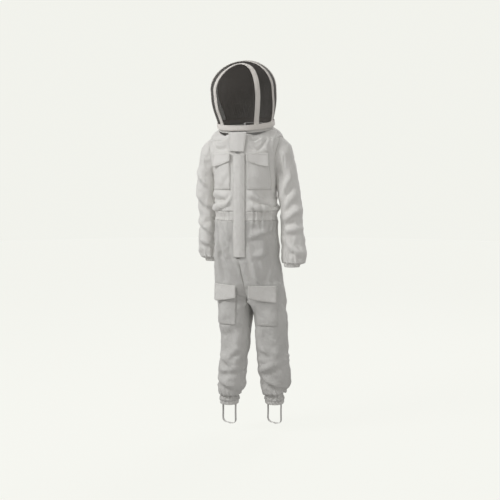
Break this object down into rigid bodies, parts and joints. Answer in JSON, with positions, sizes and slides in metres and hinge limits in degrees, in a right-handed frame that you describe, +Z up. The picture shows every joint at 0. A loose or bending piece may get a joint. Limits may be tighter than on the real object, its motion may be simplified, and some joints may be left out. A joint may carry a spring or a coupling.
{
  "type": "beekeeping suit",
  "caption": "Protective cotton coverall with a hooped net veil that zips round the neck, a front zip under a fly, flap pockets, elastic ends and foot stirrups.",
  "frame": {"origin": "middle of the neck seam, where the shoulders carry the suit", "axes": "+Z up along the standing wearer, -Y the way the wearer faces, +X to the wearer's left"},
  "size_m": [0.5594, 0.3289, 1.7394],
  "materials": {
    "cotton": "woven cotton twill",
    "cotton_leg": "woven cotton twill",
    "cotton_trim": "folded cotton with stitching",
    "elastic": "ribbed elastic",
    "zip_tape": "woven tape",
    "zip_plastic": "moulded",
    "zip_metal": "satin",
    "hoop_steel": "drawn wire",
    "net": "open black net"
  },
  "bodies": {
    "suit": {"left_front": "cotton", "right_front": "cotton", "back_bodice": "cotton", "left_sleeve": "cotton", "right_sleeve": "cotton", "left_cuff": "cotton_trim", "right_cuff": "cotton_trim", "left_wrist_elastic": "elastic", "right_wrist_elastic": "elastic", "waist_casing": "cotton_trim", "waist_elastic": "elastic", "left_leg_front": "cotton_leg", "right_leg_front": "cotton_leg", "left_leg_back": "cotton_leg", "right_leg_back": "cotton_leg", "left_ankle_casing": "cotton_trim", "right_ankle_casing": "cotton_trim", "left_ankle_elastic": "elastic", "right_ankle_elastic": "elastic", "left_stirrup": "elastic", "right_stirrup": "elastic", "left_zip_tape": "zip_tape", "right_zip_tape": "zip_tape", "left_zip_teeth": "zip_plastic", "right_zip_teeth": "zip_plastic", "zip_bottom_stop": "zip_plastic", "fly_touch_tape": "zip_tape", "left_chest_pocket": "cotton", "right_chest_pocket": "cotton", "left_thigh_pocket": "cotton", "right_thigh_pocket": "cotton", "neck_zip_tape": "zip_tape", "neck_zip_coil": "zip_plastic", "nape_strip": "cotton_trim"},
    "veil": {"veil_zip_tape": "zip_tape", "veil_zip_coil": "zip_plastic", "rim_band": "cotton_trim", "rim_wire": "hoop_steel", "front_hoop": "hoop_steel", "middle_hoop": "hoop_steel", "rear_hoop": "hoop_steel", "front_hoop_tape": "cotton_trim", "middle_hoop_tape": "cotton_trim", "rear_hoop_tape": "cotton_trim", "front_net": "net", "fore_side_net": "net", "aft_side_net": "net", "crown_panel": "cotton"},
    "neck_cover": {"neck_flap": "cotton_trim"},
    "fly": {"zip_fly": "cotton_trim"},
    "front_zip": {"front_slider": "zip_metal", "front_pull": "zip_metal"},
    "left_neck_zip": {"left_veil_slider": "zip_metal", "left_veil_pull": "zip_metal"},
    "right_neck_zip": {"right_veil_slider": "zip_metal", "right_veil_pull": "zip_metal"},
    "left_chest_cover": {"left_chest_flap": "cotton_trim"},
    "right_chest_cover": {"right_chest_flap": "cotton_trim"},
    "left_thigh_cover": {"left_thigh_flap": "cotton_trim"},
    "right_thigh_cover": {"right_thigh_flap": "cotton_trim"}
  },
  "joints": [
    {"name": "veil_tip", "type": "hinge", "parent": "suit", "child": "veil", "pos_m": [0, 0.12962, 0.03471], "axis": [-1, 0, 0], "range_deg": [0, 110]},
    {"name": "neck_cover_lift", "type": "hinge", "parent": "veil", "child": "neck_cover", "pos_m": [0, -0.1392, -0.019], "axis": [-1, 0, 0], "range_deg": [0, 120]},
    {"name": "fly_open", "type": "hinge", "parent": "suit", "child": "fly", "pos_m": [0.033, -0.1286, -0.358], "axis": [0, 0, 1], "range_deg": [0, 105]},
    {"name": "front_zip_slide", "type": "slide", "parent": "suit", "child": "front_zip", "axis": [0, 0, -1], "range_m": [0, 0.495], "deforming": ["left_zip_teeth", "right_zip_teeth"]},
    {"name": "left_neck_zip_run", "type": "hinge", "parent": "suit", "child": "left_neck_zip", "pos_m": [0, -0.00141, 0.00665], "axis": [0, -0.2079, 0.9781], "range_deg": [0, 142]},
    {"name": "right_neck_zip_run", "type": "hinge", "parent": "suit", "child": "right_neck_zip", "pos_m": [0, -0.00141, 0.00665], "axis": [0, 0.2079, -0.9781], "range_deg": [0, 142]},
    {"name": "left_chest_lift", "type": "hinge", "parent": "suit", "child": "left_chest_cover", "pos_m": [0.08874, -0.11752, -0.116], "axis": [-0.9291, -0.3697, 0], "range_deg": [0, 150]},
    {"name": "left_thigh_lift", "type": "hinge", "parent": "suit", "child": "left_thigh_cover", "pos_m": [0.11053, -0.10614, -0.729], "axis": [-0.9063, -0.4226, 0], "range_deg": [0, 150]},
    {"name": "right_chest_lift", "type": "hinge", "parent": "suit", "child": "right_chest_cover", "pos_m": [-0.08874, -0.11752, -0.116], "axis": [-0.9291, 0.3697, 0], "range_deg": [0, 150]},
    {"name": "right_thigh_lift", "type": "hinge", "parent": "suit", "child": "right_thigh_cover", "pos_m": [-0.07453, -0.10614, -0.729], "axis": [-0.9063, 0.4226, 0], "range_deg": [0, 150]}
  ]
}
